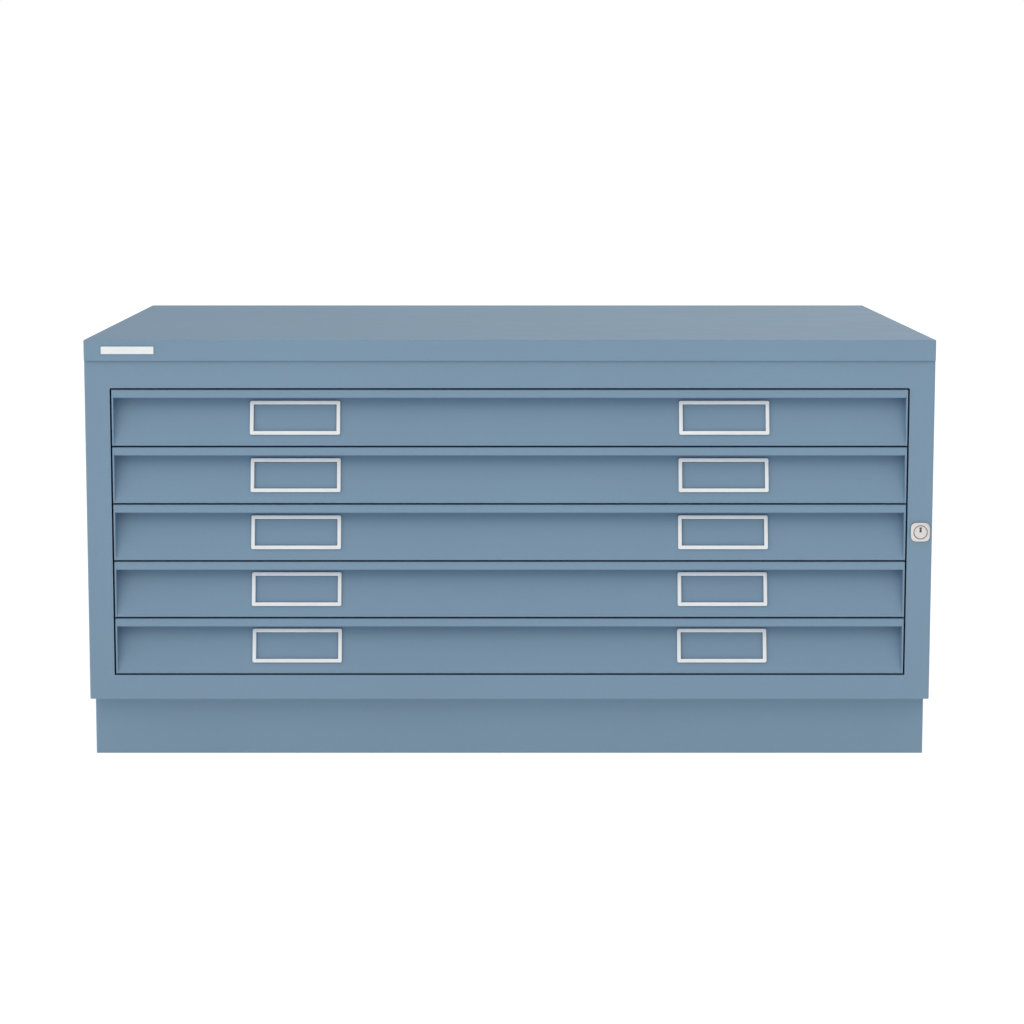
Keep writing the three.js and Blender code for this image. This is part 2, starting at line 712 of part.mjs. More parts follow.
function addPiece(group, name, geometry, material) {
  const mesh = new THREE.Mesh(geometry, material);
  mesh.name = name;
  group.add(mesh);
  return mesh;
}

function addCarcass() {
  const side = sidePanel();
  const rack = runnerRack();
  addPiece(cabinet, 'top_panel', topPanel(), paint());
  addPiece(cabinet, 'front_frame', frontFrame(), paint());
  addPiece(cabinet, 'left_side_panel', mirrored(side), paint());
  addPiece(cabinet, 'right_side_panel', side, paint());
  addPiece(cabinet, 'back_panel', backPanel(), paint());
  addPiece(cabinet, 'base_panel', basePanel(), paint());
  addPiece(cabinet, 'plinth', plinth(), paint());
  addPiece(cabinet, 'nameplate', nameplate(), brightPlate());
  addPiece(cabinet, 'left_runner_rack', mirrored(rack), zincSteel());
  addPiece(cabinet, 'right_runner_rack', rack, zincSteel());
}

function addLock() {
  const lock = new THREE.Group();
  lock.position.set(LOCK_X, FACE, LOCK_Z);
  cabinet.add(lock);
  addPiece(lock, 'lock_housing', lockHousing(), satinNickel());
  addPiece(lock, 'lock_nut', lockNut(), zincSteel());
  addPiece(lock, 'lock_barrel', lockBarrel(), satinNickel());
  addPiece(lock, 'lock_cam', lockCam(), zincSteel()).rotation.y = -CAM_REST_ANGLE;
  addPiece(lock, 'lock_cam_screw', camScrew(), zincSteel());
  addPiece(cabinet, 'lock_bar', lockBar(), zincSteel());
  const guide = barGuide();
  const feet = drawerFeet();
  const upperGuide = addPiece(cabinet, 'lock_bar_upper_guide', guide, zincSteel());
  upperGuide.position.z = feet.at(0) + GUIDE_HEIGHT;
  const lowerGuide = addPiece(cabinet, 'lock_bar_lower_guide', guide, zincSteel());
  lowerGuide.position.z = feet.at(-1) + GUIDE_HEIGHT;
}

function addDrawers() {
  const front = drawerFront();
  const drawerTray = tray();
  const holder = cardHolder();
  const inner = innerSlide();
  const middle = middleSlide();
  drawerFeet().forEach((foot, i) => {
    const drawer = new THREE.Group();
    drawer.position.z = foot;
    cabinet.add(drawer);
    const name = `drawer_${i + 1}`;
    addPiece(drawer, `${name}_front`, front, paint());
    addPiece(drawer, `${name}_tray`, drawerTray, paint());
    const leftHolder = addPiece(drawer, `${name}_left_card_holder`, holder, brightPlate());
    placeCardHolder(leftHolder, -HOLDER_CENTRE_X);
    const rightHolder = addPiece(drawer, `${name}_right_card_holder`, holder, brightPlate());
    placeCardHolder(rightHolder, HOLDER_CENTRE_X);
    const slides = new THREE.Group();
    slides.position.z = SLIDE_CENTRE;
    drawer.add(slides);
    addPiece(slides, `${name}_left_inner_slide`, mirrored(inner), zincSteel());
    addPiece(slides, `${name}_right_inner_slide`, inner, zincSteel());
    addPiece(slides, `${name}_left_middle_slide`, mirrored(middle), zincSteel());
    addPiece(slides, `${name}_right_middle_slide`, middle, zincSteel());
  });
}

addCarcass();
addLock();
addDrawers();

export default cabinet;
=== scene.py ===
"""Looks for the five-drawer steel flat file cabinet.

Finishes and fine edges for the CAD nodes, card holders and lock remade with finer shapes, slide fittings,
floor, light and camera.
"""

import json
import math

import bmesh
import bpy
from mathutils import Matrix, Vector


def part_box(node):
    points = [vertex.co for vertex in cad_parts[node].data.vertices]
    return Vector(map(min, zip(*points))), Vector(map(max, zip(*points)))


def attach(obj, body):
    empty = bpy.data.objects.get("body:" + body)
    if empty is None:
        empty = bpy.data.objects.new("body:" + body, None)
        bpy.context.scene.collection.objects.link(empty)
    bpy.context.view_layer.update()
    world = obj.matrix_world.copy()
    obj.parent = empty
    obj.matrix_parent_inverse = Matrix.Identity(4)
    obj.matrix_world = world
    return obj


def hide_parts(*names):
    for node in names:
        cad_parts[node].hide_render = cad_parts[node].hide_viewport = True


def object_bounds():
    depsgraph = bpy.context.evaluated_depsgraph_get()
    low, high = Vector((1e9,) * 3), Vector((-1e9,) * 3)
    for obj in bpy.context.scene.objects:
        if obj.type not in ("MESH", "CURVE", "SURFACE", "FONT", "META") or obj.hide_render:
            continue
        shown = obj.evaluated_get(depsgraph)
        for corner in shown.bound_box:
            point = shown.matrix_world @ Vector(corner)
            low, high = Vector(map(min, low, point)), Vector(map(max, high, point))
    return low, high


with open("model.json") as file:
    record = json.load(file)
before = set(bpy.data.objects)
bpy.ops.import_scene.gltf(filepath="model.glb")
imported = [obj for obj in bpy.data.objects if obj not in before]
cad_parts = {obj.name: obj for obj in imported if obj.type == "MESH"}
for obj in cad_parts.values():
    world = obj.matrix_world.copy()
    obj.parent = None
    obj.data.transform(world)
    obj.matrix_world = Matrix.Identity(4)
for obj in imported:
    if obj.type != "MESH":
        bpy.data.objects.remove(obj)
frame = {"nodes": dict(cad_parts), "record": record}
cad_box = [list(corner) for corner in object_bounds()]

MM = 0.001  # the rings, cages and screws below are in millimetres, and scaled where their points are made
DRAWERS = [f"drawer_{i}" for i in range(1, 6)]

# ------------------------------------------------------------------------------------------ materials

PAINT = (0.214, 0.336, 0.46)  # linear colour of the blue-grey powder coat
PAINT_SHADE = (0.55, 0.61, 0.70)  # painted shade: share of the paint's colour left deep in a crevice, a little bluer than the paint
PAINT_CREVICE = 40 * MM  # gaps and corners smaller than this get painted shade
# radius of the rounding that finds the sharp edges for the painted highlight
PAINT_EDGE_HIGHLIGHT_RADIUS = 0.8 * MM
EDGE_LEAN = (1.0, 0.8)  # cosine of how far the rounded normal leans, on a flat and on an edge
PAINT_EDGE_HIGHLIGHT = 0.10  # how much lighter the painted highlight makes a sharp edge
PAINT_GLOSS = (0.26, 0.45)  # specular level, in a crevice and in the open; the lower level in a crevice is painted shade on the reflection
PAINT_ROUGHNESS = (0.40, 0.48)
# Scales of the paint's patterns in cycles per metre, with how far they change its brightness or height
CLOUD_SCALE, CLOUD_RANGE = 5.0, (0.985, 1.015)
GRAIN_SCALE, GRAIN_RANGE = 1400.0, (0.97, 1.03)
PEEL_SCALE, PEEL_DEPTH = 420.0, 0.025 * MM
FLECK_SCALE, FLECK_DEPTH = 1600.0, 0.008 * MM
POLISH_SCALE = 18.0
PLATE = (0.965, 0.99, 1.0)
NICKEL = (0.82, 0.79, 0.765)
ZINC = (0.62, 0.63, 0.65)
# gaps and corners smaller than this get painted shade on the metals
METAL_CREVICE = 6 * MM
METAL_CLOUD_SCALE, METAL_CLOUD_RANGE = 30.0, (0.96, 1.03)
METAL_ROUGHNESS_RANGE = (0.8, 1.25)
OCCLUSION_RANGE = (-0.3, 1.0)  # occlusion that counts as closed and as open; below 0 keeps crevices soft

FLOOR_COLOUR = (0.2, 0.2, 0.2)
FLOOR_GLOW = (0.76, 0.93)  # light the floor sends to the cabinet by itself, from near and from far
FLOOR_SEEN = 0.93  # the same, as the camera sees it

# Where one part of the studio gives way to the next, along a direction's Y, X, Z and X
TO_FRONT = (0.35, -0.45)
TO_RIGHT = (-0.5, 0.5)
TO_HIGH = (0.15, 0.75)
TO_BESIDE = (0.45, 0.85)
# Brightness of the white studio round the cabinet: behind it, in front of it and straight beside it
STUDIO = {
    ("left", "low"): (0.0, 0.05, 1.7),
    ("left", "high"): (0.35, 1.15, 1.5),
    ("right", "low"): (0.7, 0.05, 0.25),
    ("right", "high"): (1.2, 1.0, 0.8),
}


def new_material(name):
    material = bpy.data.materials.new(name)
    material.use_nodes = True
    tree = material.node_tree
    return material, tree, tree.nodes["Principled BSDF"]


def add_node(tree, kind, **values):
    """A node with its inputs or, where it has no input of that name, its settings set to values."""
    node = tree.nodes.new(kind)
    for key, value in values.items():
        if key in node.inputs:
            node.inputs[key].default_value = value
        else:
            setattr(node, key, value)
    return node


def noise(tree, scale, detail=2.0, stretch=(1, 1, 1)):
    """Noise in object space, scale in cycles per metre, so it runs unbroken across a piece."""
    place = add_node(tree, "ShaderNodeTexCoord")
    shape = add_node(tree, "ShaderNodeMapping")
    shape.inputs["Scale"].default_value = stretch
    tree.links.new(place.outputs["Object"], shape.inputs["Vector"])
    texture = add_node(tree, "ShaderNodeTexNoise", Scale=scale, Detail=detail)
    tree.links.new(shape.outputs["Vector"], texture.inputs["Vector"])
    return texture.outputs["Fac"]


def remap(tree, value, start, stop, low=0.0, high=1.0, **settings):
    """Maps start..stop to low..high, and keeps to that range beyond them."""
    scale = add_node(tree, "ShaderNodeMapRange", **settings)
    scale.inputs["From Min"].default_value = start
    scale.inputs["From Max"].default_value = stop
    scale.inputs["To Min"].default_value = low
    scale.inputs["To Max"].default_value = high
    tree.links.new(value, scale.inputs["Value"])
    return scale.outputs["Result"]


def share(tree, value, start, stop):
    """0 up to start and 1 from stop on, with a smooth change between."""
    return remap(tree, value, start, stop, interpolation_type="SMOOTHSTEP")


def spread(tree, value, low, high):
    """Noise, which keeps mostly between 0.3 and 0.7, spread over low..high."""
    return remap(tree, value, 0.3, 0.7, low, high)


def times(tree, first, second):
    product = add_node(tree, "ShaderNodeMath", operation="MULTIPLY")
    tree.links.new(first, product.inputs[0])
    tree.links.new(second, product.inputs[1])
    return product.outputs["Value"]


def mixed(tree, factor, first, second):
    """The first colour where factor is 0 and the second where it is 1."""
    mix = add_node(tree, "ShaderNodeMix", data_type="VECTOR")
    ends = [socket for socket in mix.inputs if socket.name in "AB" and socket.enabled]
    for socket, colour in zip(ends, (first, second)):
        socket.default_value = colour
    tree.links.new(factor, mix.inputs["Factor"])
    return next(socket for socket in mix.outputs if socket.enabled)


def tinted(tree, colour, brightness):
    """A colour, given as numbers or by nodes, multiplied by a brightness that nodes make."""
    mix = add_node(tree, "ShaderNodeVectorMath", operation="SCALE")
    if isinstance(colour, tuple):
        mix.inputs[0].default_value = colour
    else:
        tree.links.new(colour, mix.inputs[0])
    tree.links.new(brightness, mix.inputs["Scale"])
    return mix.outputs["Vector"]


def bump(tree, shader, heights):
    """Stacks bumps, each (height, distance in metres), on the shader's normal."""
    normal = None
    for height, distance in heights:
        node = add_node(tree, "ShaderNodeBump", Distance=distance)
        tree.links.new(height, node.inputs["Height"])
        if normal is not None:
            tree.links.new(normal, node.inputs["Normal"])
        normal = node.outputs["Normal"]
    tree.links.new(normal, shader.inputs["Normal"])


def edge_mask(tree, radius):
    """1 on sharp edges and 0 on flats, from how far a rounded normal leans from the true one."""
    rounded = add_node(tree, "ShaderNodeBevel", samples=4, Radius=radius)
    true = add_node(tree, "ShaderNodeNewGeometry")
    lean = add_node(tree, "ShaderNodeVectorMath", operation="DOT_PRODUCT")
    tree.links.new(rounded.outputs["Normal"], lean.inputs[0])
    tree.links.new(true.outputs["Normal"], lean.inputs[1])
    return remap(tree, lean.outputs["Value"], *EDGE_LEAN)


def openness(tree, reach, alone=False):
    """1 on open faces, falling towards 0 in gaps and corners smaller than reach: the mask for painted
    shade.

    With alone set, other pieces don't count, nor does the floor.
    """
    node = add_node(tree, "ShaderNodeAmbientOcclusion", samples=8, only_local=alone, Distance=reach)
    return share(tree, node.outputs["AO"], *OCCLUSION_RANGE)


def powder_coat(name, alone=False):
    """Satin powder coat: fine orange peel, slight cloudiness, a painted highlight on sharp edges and
    painted shade in crevices.
    """
    material, tree, shader = new_material(name)
    cloud = spread(tree, noise(tree, CLOUD_SCALE, 3.0), *CLOUD_RANGE)
    grain = spread(tree, noise(tree, GRAIN_SCALE, 1.0), *GRAIN_RANGE)
    # painted highlight: sharp edges lighter, on top of the random cloud and grain
    lift = add_node(tree, "ShaderNodeMath", operation="MULTIPLY_ADD")
    tree.links.new(edge_mask(tree, PAINT_EDGE_HIGHLIGHT_RADIUS), lift.inputs[0])
    lift.inputs[1].default_value = PAINT_EDGE_HIGHLIGHT
    tree.links.new(times(tree, cloud, grain), lift.inputs[2])
    # painted shade: the paint goes darker and bluer in gaps and corners, and its specular drops there
    clear = openness(tree, PAINT_CREVICE, alone)
    deep = tuple(a * b for a, b in zip(PAINT, PAINT_SHADE))
    colour = mixed(tree, clear, deep, PAINT)
    tree.links.new(tinted(tree, colour, lift.outputs["Value"]), shader.inputs["Base Color"])
    tree.links.new(remap(tree, clear, 0.0, 1.0, *PAINT_GLOSS), shader.inputs["Specular IOR Level"])
    polish = spread(tree, noise(tree, POLISH_SCALE, 4.0), *PAINT_ROUGHNESS)
    tree.links.new(polish, shader.inputs["Roughness"])
    peel = noise(tree, PEEL_SCALE, 2.0)
    fleck = noise(tree, FLECK_SCALE, 1.0)
    bump(tree, shader, [(peel, PEEL_DEPTH), (fleck, FLECK_DEPTH)])
    return material


def metal(name, colour, shade, shine, roughness, grain_scale, grain_stretch, grain_depth):
    """Bare or plated metal with a grain.

    Shade is how dark the painted shade in its crevices goes, shine its mirror-like share and stretch the
    way the grain runs.
    """
    material, tree, shader = new_material(name)
    shader.inputs["Metallic"].default_value = shine
    streak = noise(tree, grain_scale, 3.0, grain_stretch)
    cloud = spread(tree, noise(tree, METAL_CLOUD_SCALE, 3.0), *METAL_CLOUD_RANGE)
    # painted shade: the base colour darkens in crevices, down to shade
    clear = remap(tree, openness(tree, METAL_CREVICE), 0.0, 1.0, shade, 1.0)
    tree.links.new(tinted(tree, colour, times(tree, cloud, clear)), shader.inputs["Base Color"])
    smooth, coarse = (roughness * part for part in METAL_ROUGHNESS_RANGE)
    tree.links.new(spread(tree, streak, smooth, coarse), shader.inputs["Roughness"])
    bump(tree, shader, [(streak, grain_depth)])
    return material


paint = powder_coat("blue_grey_powder_coat")
# a copy of the paint whose painted crevice shade counts the plinth alone, so the floor doesn't darken its
# foot
plinth_paint = powder_coat("blue_grey_powder_coat_plinth", alone=True)
plate = metal("bright_plate", PLATE, 0.95, 0.03, 0.32, 900.0, (1, 1, 1), 0.002 * MM)
nickel = metal("satin_nickel", NICKEL, 0.25, 0.4, 0.38, 1200.0, (1, 1, 0.2), 0.004 * MM)
zinc = metal("zinc_plate", ZINC, 0.4, 1.0, 0.32, 500.0, (1, 0.05, 1), 0.004 * MM)

SLOT_MATERIALS = {
    "cabinet_paint": paint,
    "drawer_paint": paint,
    "bright_plate": plate,
    "satin_nickel": nickel,
    "zinc_steel": zinc,
}

# ------------------------------------------------------------------------------------- mesh building

CORNER_STEPS = 6


def add_ring(form, points):
    return [form.verts.new(point) for point in points]


def bridge(form, rings, closed=False):
    """Quads between neighbouring rings of points; closed also joins the last ring to the first."""
    pairs = list(zip(rings, rings[1:]))
    if closed:
        pairs.append((rings[-1], rings[0]))
    for near, far in pairs:
        for i in range(len(near)):
            j = (i + 1) % len(near)
            form.faces.new((near[i], near[j], far[j], far[i]))


def make_piece(name, form, slot, body, *stands_for):
    """Turns a form into a piece that rides on a body, in the finish of a material slot."""
    bmesh.ops.recalc_face_normals(form, faces=form.faces)
    mesh = bpy.data.meshes.new(name)
    form.to_mesh(mesh)
    form.free()
    mesh.shade_smooth()
    mesh.materials.append(SLOT_MATERIALS[slot])
    piece = bpy.data.objects.new(name, mesh)
    bpy.context.scene.collection.objects.link(piece)
    even_normals(piece)
    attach(piece, body)
    if stands_for:
        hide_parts(*stands_for)
    return piece


def even_normals(piece):
    """Lets the large faces set the shading, so flats look flat and small bevels look round."""
    normals = piece.modifiers.new("normals", "WEIGHTED_NORMAL")
    normals.keep_sharp = False
    normals.weight = 100


def rounded(half_x, half_y, radius):
    """Points round a rectangle with rounded corners, anticlockwise from the right-hand side."""
    points = []
    for quarter, (sx, sy) in enumerate(((1, 1), (-1, 1), (-1, -1), (1, -1))):
        for step in range(CORNER_STEPS + 1):
            angle = (quarter + step / CORNER_STEPS) * math.pi / 2
            x = sx * (half_x - radius) + radius * math.cos(angle)
            y = sy * (half_y - radius) + radius * math.sin(angle)
            points.append((x, y))
    return points


def superellipse(size, power, count):
    """Points round a superellipse: power 1 is a diamond, 2 a circle and 4 a soft square."""
    points = []
    for i in range(count):
        c = math.cos(2 * math.pi * i / count)
        s = math.sin(2 * math.pi * i / count)
        x = math.copysign(abs(c) ** (2 / power), c)
        z = math.copysign(abs(s) ** (2 / power), s)
        points.append((size * x, size * z))
    return points


# ----------------------------------------------------------------------------- carried-over CAD nodes

EDGE_WIDTH = {
    "cabinet_paint": 0.2 * MM,
    "drawer_paint": 0.2 * MM,
    "bright_plate": 0.3 * MM,
    "satin_nickel": 0.25 * MM,
    "zinc_steel": 0.2 * MM,
}
WELD_DISTANCE = 0.001 * MM
FLAT_ANGLE = math.radians(0.5)  # faces that lean less than this from each other become one
SHARP_ANGLE = math.radians(50)  # edges that turn more than this get a bevel


def soften(piece, width):
    """Fine bevels on the sharp edges of a faceted piece, with flat faces that stay flat."""
    mesh = piece.data
    if "custom_normal" in mesh.attributes:
        mesh.attributes.remove(mesh.attributes["custom_normal"])
    mesh.shade_smooth()
    weld = piece.modifiers.new("weld", "WELD")
    weld.merge_threshold = WELD_DISTANCE
    flat = piece.modifiers.new("flat", "DECIMATE")
    flat.decimate_type = "DISSOLVE"
    flat.angle_limit = FLAT_ANGLE
    bevel = piece.modifiers.new("edge", "BEVEL")
    bevel.width = width
    bevel.segments = 2
    bevel.limit_method = "ANGLE"
    bevel.angle_limit = SHARP_ANGLE
    bevel.harden_normals = False
    even_normals(piece)


for subpart in frame["record"]["subparts"]:
    node = frame["nodes"][subpart["node"]]
    slot = subpart["material_slot"]
    node.data.materials.clear()
    node.data.materials.append(SLOT_MATERIALS[slot])
    soften(node, EDGE_WIDTH[slot])

# the plinth takes the copy of the paint with its own painted crevice shade
frame["nodes"]["plinth"].data.materials[0] = plinth_paint

# --------------------------------------------------------------------------------------- card holders

PANEL_TILT = math.atan2(15.5, 55.05)  # lean of a drawer front's panel from upright
HOLDER_HALF_WIDTH = 51.6 * MM
HOLDER_HALF_LENGTH = 18.95 * MM / math.cos(PANEL_TILT)
HOLDER_CORNER = 2 * MM
HOLDER_INNER_CORNER = 0.25 * MM
HOLDER_WALL = 1.6 * MM
HOLDER_WALL_FOOT = -1 * MM  # the wall's two ends, measured out from the middle of the holder's thickness
HOLDER_WALL_TOP = 0.05 * MM
HOLDER_WALL_INSET = 0.02 * MM  # keeps the wall's outside clear of the bars' outside
# Cross-section of a bar: distance in from the outer edge, and height over the middle of its thickness
HOLDER_BAR = [
    (0.0, 0.0),
    (0.0, 0.45),
    (0.12, 0.75),
    (0.35, 0.93),
    (0.7, 1.0),
    (3.5, 1.0),
    (3.85, 0.93),
    (4.08, 0.75),
    (4.2, 0.45),
    (4.2, 0.0),
]


def holder_ring(inset):
    radius = max(HOLDER_CORNER - inset, HOLDER_INNER_CORNER)
    return rounded(HOLDER_HALF_WIDTH - inset, HOLDER_HALF_LENGTH - inset, radius)


def make_card_holder(drawer, side):
    """A plated frame with rounded bars over a U-shaped wall that is open at the top for the card."""
    node = f"{drawer}_{side}_card_holder"
    low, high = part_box(node)
    centre = (low + high) / 2
    up = Vector((0, math.sin(PANEL_TILT), math.cos(PANEL_TILT)))
    out = Vector((0, -math.cos(PANEL_TILT), math.sin(PANEL_TILT)))

    def place(point, height):
        return centre + Vector((point[0], 0, 0)) + up * point[1] + out * height

    form = bmesh.new()
    bars = [[place(p, h * MM) for p in holder_ring(d * MM)] for d, h in HOLDER_BAR]
    bridge(form, [add_ring(form, ring) for ring in bars], closed=True)
    outer = holder_ring(HOLDER_WALL_INSET)
    inner = holder_ring(HOLDER_WALL)
    lines = [
        (outer, HOLDER_WALL_FOOT),
        (outer, HOLDER_WALL_TOP),
        (inner, HOLDER_WALL_TOP),
        (inner, HOLDER_WALL_FOOT),
    ]
    first = 2 * CORNER_STEPS + 1  # last point of the top left corner, where the left side starts
    wall = []
    for ring, height in lines:
        wall.append(add_ring(form, [place(p, height) for p in ring[first:] + ring[:1]]))
    for near, far in zip(wall, wall[1:] + wall[:1]):
        for i in range(len(near) - 1):
            form.faces.new((near[i], near[i + 1], far[i + 1], far[i]))
    form.faces.new([line[0] for line in wall])
    form.faces.new([line[-1] for line in reversed(wall)])
    make_piece(f"{node}_shell", form, "bright_plate", drawer, node)


for drawer in DRAWERS:
    make_card_holder(drawer, "left")
    make_card_holder(drawer, "right")

# ------------------------------------------------------------------------------------------------ lock

LOCK_POINTS = 96
FASCIA_Y = -349 * MM
LOCK_AXIS = Vector((471.3 * MM, FASCIA_Y, 262.3 * MM))
ROUND = 2
DIAMOND = 1
SOFT_SQUARE = 4
# Half-size, shape and depth of the rings from the back of the plate over its rim, down the bore and back
# along the sleeve
HOUSING = [
    (11.0, SOFT_SQUARE, -0.3),
    (11.0, SOFT_SQUARE, -1.25),
    (10.85, SOFT_SQUARE, -1.6),
    (10.4, SOFT_SQUARE, -2.1),
    (9.8, SOFT_SQUARE, -2.48),
    (9.4, SOFT_SQUARE, -2.6),
    (8.2, ROUND, -2.6),
    (8.06, ROUND, -2.54),
    (8.0, ROUND, -2.4),
    (8.0, ROUND, 17.0),
    (9.0, ROUND, 17.0),
    (9.0, ROUND, -0.3),
]
# The same from the keyhole's rim over the face, along the body to the square tail and into the screw hole
BARREL = [
    (7.1, ROUND, -2.4),
    (7.24, ROUND, -2.34),
    (7.3, ROUND, -2.2),
    (7.3, ROUND, 17.3),
    (4.95, DIAMOND, 17.3),
    (4.95, DIAMOND, 19.3),
    (1.9, ROUND, 19.3),
    (1.9, ROUND, 10.3),
]
KEYHOLE_HALF_WIDTH = 1.5
KEYHOLE_HALF_HEIGHT = 2.9
KEYHOLE_WAIST = 0.4  # share of the width lost at the waist
KEYHOLE_WAIST_SPAN = 0.35  # of the half height
KEYHOLE_POWER = 5
KEYHOLE_RINGS = [(0.95, 2.4), (1.0, -2.25), (1.06, -2.4)]  # size and depth, from the dust shutter out


def lock_ring(points, depth):
    return [LOCK_AXIS + Vector((x, depth, z)) * MM for x, z in points]


def keyhole(scale):
    """A slot above the barrel's centre, slightly waisted."""
    points = []
    for x, z in superellipse(1, KEYHOLE_POWER, LOCK_POINTS):
        waist = 1 - KEYHOLE_WAIST * math.exp(-((z / KEYHOLE_WAIST_SPAN) ** 2))
        across = KEYHOLE_HALF_WIDTH * x * waist
        points.append((across * scale, KEYHOLE_HALF_HEIGHT * (1 + z * scale)))
    return points


def make_lock_housing():
    form = bmesh.new()
    rings = [lock_ring(superellipse(size, power, LOCK_POINTS), depth) for size, power, depth in HOUSING]
    bridge(form, [add_ring(form, ring) for ring in rings], closed=True)
    make_piece("lock_housing_shell", form, "satin_nickel", "cabinet", "lock_housing")


def make_lock_barrel():
    form = bmesh.new()
    rings = [add_ring(form, lock_ring(keyhole(scale), depth)) for scale, depth in KEYHOLE_RINGS]
    form.faces.new(rings[0])
    for size, power, depth in BARREL:
        rings.append(add_ring(form, lock_ring(superellipse(size, power, LOCK_POINTS), depth)))
    bridge(form, rings)
    form.faces.new(rings[-1])
    make_piece("lock_barrel_shell", form, "satin_nickel", "lock_barrel", "lock_barrel")


make_lock_housing()
make_lock_barrel()

# ----------------------------------------------------------------------------------- slides and screws

SLIDE_Z = 28 * MM  # over the foot of the drawer front
CAGE_SHEET = 0.4
BALL_PITCH = 36
BALL_BANDS = 6
BALL_POINTS = 10
# Ball cages at rest: near and far edges and half height of the channel, the balls' place and radius, and
# where the channel runs along Y
OUTER_CAGE = {"near": 445.5, "far": 451.1, "half": 13.2, "ball_x": 446.6, "ball": 0.8, "run": (-30, 270)}
INNER_CAGE = {"near": 444.2, "far": 448.4, "half": 10.1, "ball_x": 445.4, "ball": 1.1, "run": (-310, -10)}

SCREW_HEAD = [(1.9, 0.7), (2.6, 0.32), (2.95, 0.0)]  # radius and height, from round the recess to the seat
SCREW_RECESS = [(0.7, 0.3), (1.0, 0.95)]  # size and height, from its floor to its rim
SCREW_RECESS_HUB = 0.45  # radius between the arms of the cross
SCREW_RECESS_ARM = 0.95  # how much farther the arms reach
SCREW_RECESS_POWER = 8  # how narrow they are
SCREW_POINTS = 32
TRAY_INSIDE_X = 439
TRAY_INSIDE_FRONT = -330.7
SIDE_SCREW_Y = (-280, -20, 240)
FRONT_SCREW_X = (-390, -130, 130, 390)
FRONT_SCREW_Z = 40 * MM


def add_channel(form, cage, side, height):
    """A thin channel with its web on the far side, running along Y, with balls along both edges."""
    near, far, half = cage["near"], cage["far"], cage["half"]
    sheet = CAGE_SHEET
    outline = [
        (near, -half),
        (far, -half),
        (far, half),
        (near, half),
        (near, half - sheet),
        (far - sheet, half - sheet),
        (far - sheet, sheet - half),
        (near, sheet - half),
    ]
    ends = []
    for y in cage["run"]:
        ends.append(add_ring(form, [Vector((side * x, y, z + height)) * MM for x, z in outline]))
    bridge(form, ends)
    for end in ends:
        form.faces.new(end)
    start, stop = cage["run"]
    count = int((stop - start) / BALL_PITCH)
    for i in range(count):
        y = start + (stop - start) * (i + 0.5) / count
        for z in (-1, 1):
            centre = Vector((side * cage["ball_x"], y, height + z * (half - sheet / 2))) * MM
            add_ball(form, centre, cage["ball"] * MM)


def add_ball(form, centre, radius):
    rings = []
    for band in range(1, BALL_BANDS):
        angle = math.pi * band / BALL_BANDS
        ring = []
        for i in range(BALL_POINTS):
            turn = 2 * math.pi * i / BALL_POINTS
            flat = Vector((math.cos(turn), math.sin(turn), 0)) * math.sin(angle)
            ring.append(centre + radius * (flat + Vector((0, 0, math.cos(angle)))))
        rings.append(add_ring(form, ring))
    bridge(form, rings)
    form.faces.new(rings[0])
    form.faces.new(rings[-1])


def make_ball_cages(drawer):
    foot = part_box(f"{drawer}_front")[0].z
    height = (foot + SLIDE_Z) / MM
    for side_name, side in (("left", -1), ("right", 1)):
        form = bmesh.new()
        add_channel(form, OUTER_CAGE, side, height)
        add_channel(form, INNER_CAGE, side, height)
        make_piece(f"{drawer}_{side_name}_ball_cages", form, "zinc_steel", f"{drawer}_middle_slides")


def add_screw(form, seat, out, across):
    """A domed head with a cross recess, standing on a seat and facing out."""
    other = out.cross(across)

    def cross(turn):
        return SCREW_RECESS_HUB + SCREW_RECESS_ARM * abs(math.cos(2 * turn)) ** SCREW_RECESS_POWER

    def disc(turn):
        return 1.0

    def ring(shape, size, height):
        points = []
        for i in range(SCREW_POINTS):
            turn = 2 * math.pi * i / SCREW_POINTS
            flat = across * math.cos(turn) + other * math.sin(turn)
            points.append(seat + (flat * shape(turn) * size + out * height) * MM)
        return add_ring(form, points)

    rings = [ring(cross, size, height) for size, height in SCREW_RECESS]
    rings += [ring(disc, radius, height) for radius, height in SCREW_HEAD]
    form.faces.new(rings[0])
    bridge(form, rings)
    form.faces.new(rings[-1])


def make_screws(drawer):
    """Heads of the screws that hold the slides and the drawer front to the tray."""
    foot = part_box(f"{drawer}_front")[0].z
    form = bmesh.new()
    for side in (-1, 1):
        for y in SIDE_SCREW_Y:
            seat = Vector((side * TRAY_INSIDE_X * MM, y * MM, foot + SLIDE_Z))
            add_screw(form, seat, Vector((-side, 0, 0)), Vector((0, 1, 0)))
    for x in FRONT_SCREW_X:
        seat = Vector((x * MM, TRAY_INSIDE_FRONT * MM, foot + FRONT_SCREW_Z))
        add_screw(form, seat, Vector((0, 1, 0)), Vector((1, 0, 0)))
    make_piece(f"{drawer}_screws", form, "zinc_steel", drawer)


for drawer in DRAWERS:
    make_ball_cages(drawer)
    make_screws(drawer)

# ------------------------------------------------------------------------------- floor, light, camera

FLOOR_HALF_SIZE = 40
FLOOR_NEAR, FLOOR_FAR = 0.35, 1.0  # distances in Y over which the floor's light changes, in metres

CABINET_FRONT = cad_box[0][1]
CABINET_TOP = cad_box[1][2]
EYE_X = -15.5 * MM
EYE_AWAY = 3471.3 * MM  # in front of the cabinet
EYE_ABOVE = 232.0 * MM  # over its top
EYE_DIP = 0.1432  # radians below level
LENS = 107.34
SENSOR = 36
LENS_SHIFT = (0.0155, 0.0603)


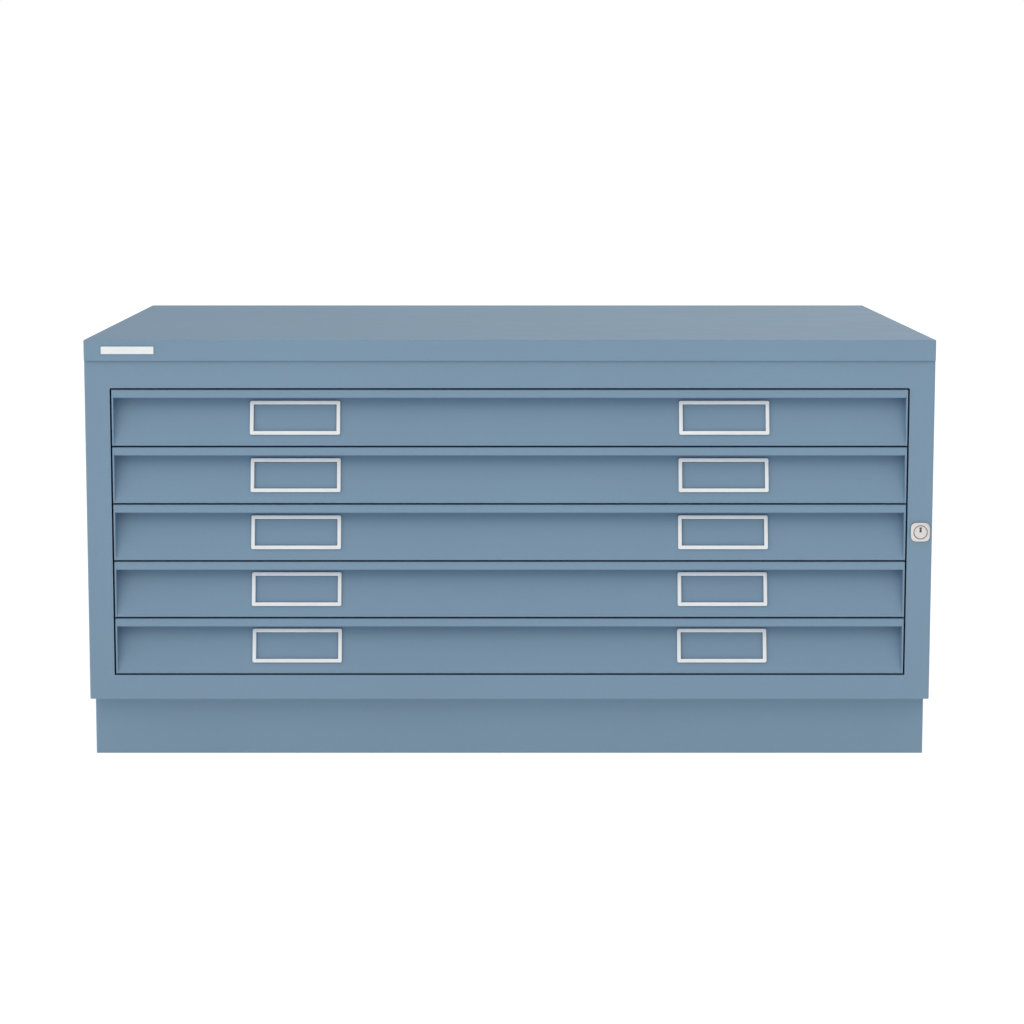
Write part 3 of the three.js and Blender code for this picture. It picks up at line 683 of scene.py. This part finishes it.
def blended(tree, factor, first, second):
    """The first value where factor is 0 and the second where it is 1; each is a number or a socket."""
    mix = add_node(tree, "ShaderNodeMix", data_type="FLOAT")
    tree.links.new(factor, mix.inputs["Factor"])
    for name, value in (("A", first), ("B", second)):
        if isinstance(value, float):
            mix.inputs[name].default_value = value
        else:
            tree.links.new(value, mix.inputs[name])
    return mix.outputs["Result"]


def make_floor():
    """A pale floor: near white to the camera, and giving the cabinet a set amount of light from below."""
    mesh = bpy.data.meshes.new("floor")
    form = bmesh.new()
    bmesh.ops.create_grid(form, x_segments=1, y_segments=1, size=FLOOR_HALF_SIZE)
    form.to_mesh(mesh)
    form.free()
    floor = bpy.data.objects.new("floor", mesh)
    bpy.context.scene.collection.objects.link(floor)
    material, tree, shader = new_material("pale_floor")
    tone = spread(tree, noise(tree, 2.0, 2.0), 0.99, 1.0)
    tree.links.new(tinted(tree, FLOOR_COLOUR, tone), shader.inputs["Base Color"])
    shader.inputs["Roughness"].default_value = 0.9
    shader.inputs["Specular IOR Level"].default_value = 0.0
    shader.inputs["Emission Color"].default_value = (1, 1, 1, 1)
    place = add_node(tree, "ShaderNodeNewGeometry")
    axes = add_node(tree, "ShaderNodeSeparateXYZ")
    tree.links.new(place.outputs["Position"], axes.inputs[0])
    distance = add_node(tree, "ShaderNodeMath", operation="ABSOLUTE")
    tree.links.new(axes.outputs["Y"], distance.inputs[0])
    away = share(tree, distance.outputs["Value"], FLOOR_NEAR, FLOOR_FAR)
    path = add_node(tree, "ShaderNodeLightPath")
    glow = blended(tree, path.outputs["Is Camera Ray"], blended(tree, away, *FLOOR_GLOW), FLOOR_SEEN)
    tree.links.new(glow, shader.inputs["Emission Strength"])
    mesh.materials.append(material)


def make_world():
    """A white studio, brightest high in front, high behind on the right and straight beside on the left."""
    world = bpy.data.worlds.new("studio")
    world.use_nodes = True
    tree = world.node_tree
    direction = add_node(tree, "ShaderNodeTexCoord")
    axes = add_node(tree, "ShaderNodeSeparateXYZ")
    tree.links.new(direction.outputs["Generated"], axes.inputs[0])
    front = share(tree, axes.outputs["Y"], *TO_FRONT)
    right = share(tree, axes.outputs["X"], *TO_RIGHT)
    upper = share(tree, axes.outputs["Z"], *TO_HIGH)
    start, stop = TO_BESIDE
    beside = {
        "left": share(tree, axes.outputs["X"], -start, -stop),
        "right": share(tree, axes.outputs["X"], start, stop),
    }
    bands = []
    for band in ("low", "high"):
        sides = []
        for side in ("left", "right"):
            behind, ahead, lateral = STUDIO[(side, band)]
            sides.append(blended(tree, beside[side], blended(tree, front, behind, ahead), lateral))
        bands.append(blended(tree, right, *sides))
    light = blended(tree, upper, *bands)
    path = add_node(tree, "ShaderNodeLightPath")
    background = tree.nodes["Background"]
    seen = blended(tree, path.outputs["Is Camera Ray"], light, 1.0)
    tree.links.new(seen, background.inputs["Strength"])
    background.inputs["Color"].default_value = (1, 1, 1, 1)
    bpy.context.scene.world = world


def make_camera():
    """The photograph's eye: a long lens a little above the top, looking slightly down."""
    camera = bpy.data.cameras.new("camera")
    camera.sensor_width = SENSOR
    camera.lens = LENS
    camera.shift_x, camera.shift_y = LENS_SHIFT
    camera.clip_end = 100
    eye = bpy.data.objects.new("camera", camera)
    eye.location = (EYE_X, CABINET_FRONT - EYE_AWAY, CABINET_TOP + EYE_ABOVE)
    eye.rotation_euler = (math.pi / 2 - EYE_DIP, 0, 0)
    bpy.context.scene.collection.objects.link(eye)
    bpy.context.scene.camera = eye


make_floor()
make_world()
make_camera()
bpy.context.scene.view_settings.view_transform = "Standard"
